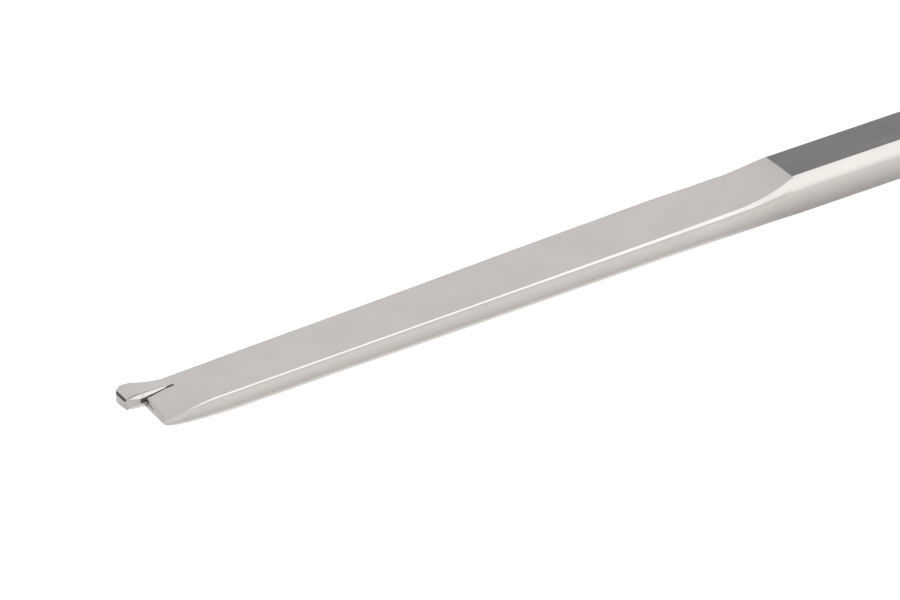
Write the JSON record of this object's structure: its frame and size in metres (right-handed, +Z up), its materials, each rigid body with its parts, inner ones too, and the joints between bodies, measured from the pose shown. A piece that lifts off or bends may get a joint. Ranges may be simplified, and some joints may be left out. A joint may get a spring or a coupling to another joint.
{
  "type": "tyre lever",
  "caption": "Long steel tyre lever: flat tapered blade with a raised corner finger, round bar with a marked flat, grip with a swinging hang ring.",
  "frame": {"origin": "middle of the lever's box in plan, on the plane that its handle stands on", "axes": "+X along the lever from the finger to the hang ring, +Y across the blade to the finger's side, +Z up out of the blade's flat"},
  "size_m": [0.6406, 0.0342, 0.032],
  "materials": {
    "polished_chrome": "polished chrome plate, with a matt dark panel on the marked flat",
    "bright_steel": "fine turned and brushed",
    "spring_steel": "dark oiled",
    "handle_plastic": "fine spark-eroded grain",
    "grip_rubber": "soft matt",
    "seal_rubber": "smooth"
  },
  "bodies": {
    "lever": {"lever_bar": "polished_chrome", "bolster": "bright_steel", "bolster_pin": "spring_steel", "seal_ring": "seal_rubber", "handle_core": "handle_plastic", "grip_pad_top": "grip_rubber", "grip_pad_near": "grip_rubber", "grip_pad_bottom": "grip_rubber", "grip_pad_far": "grip_rubber", "thrust_washer": "bright_steel", "disc_spring": "spring_steel", "clamp_nut": "bright_steel", "end_cap": "bright_steel", "cap_set_screw": "spring_steel", "ring_pin": "bright_steel", "pin_clip": "spring_steel"},
    "ring": {"hang_ring": "bright_steel"}
  },
  "joints": [
    {"name": "ring_swing", "type": "hinge", "parent": "lever", "child": "ring", "pos_m": [0.28104, 0, 0.016], "axis": [0, 1, 0], "range_deg": [-140, 100]}
  ]
}
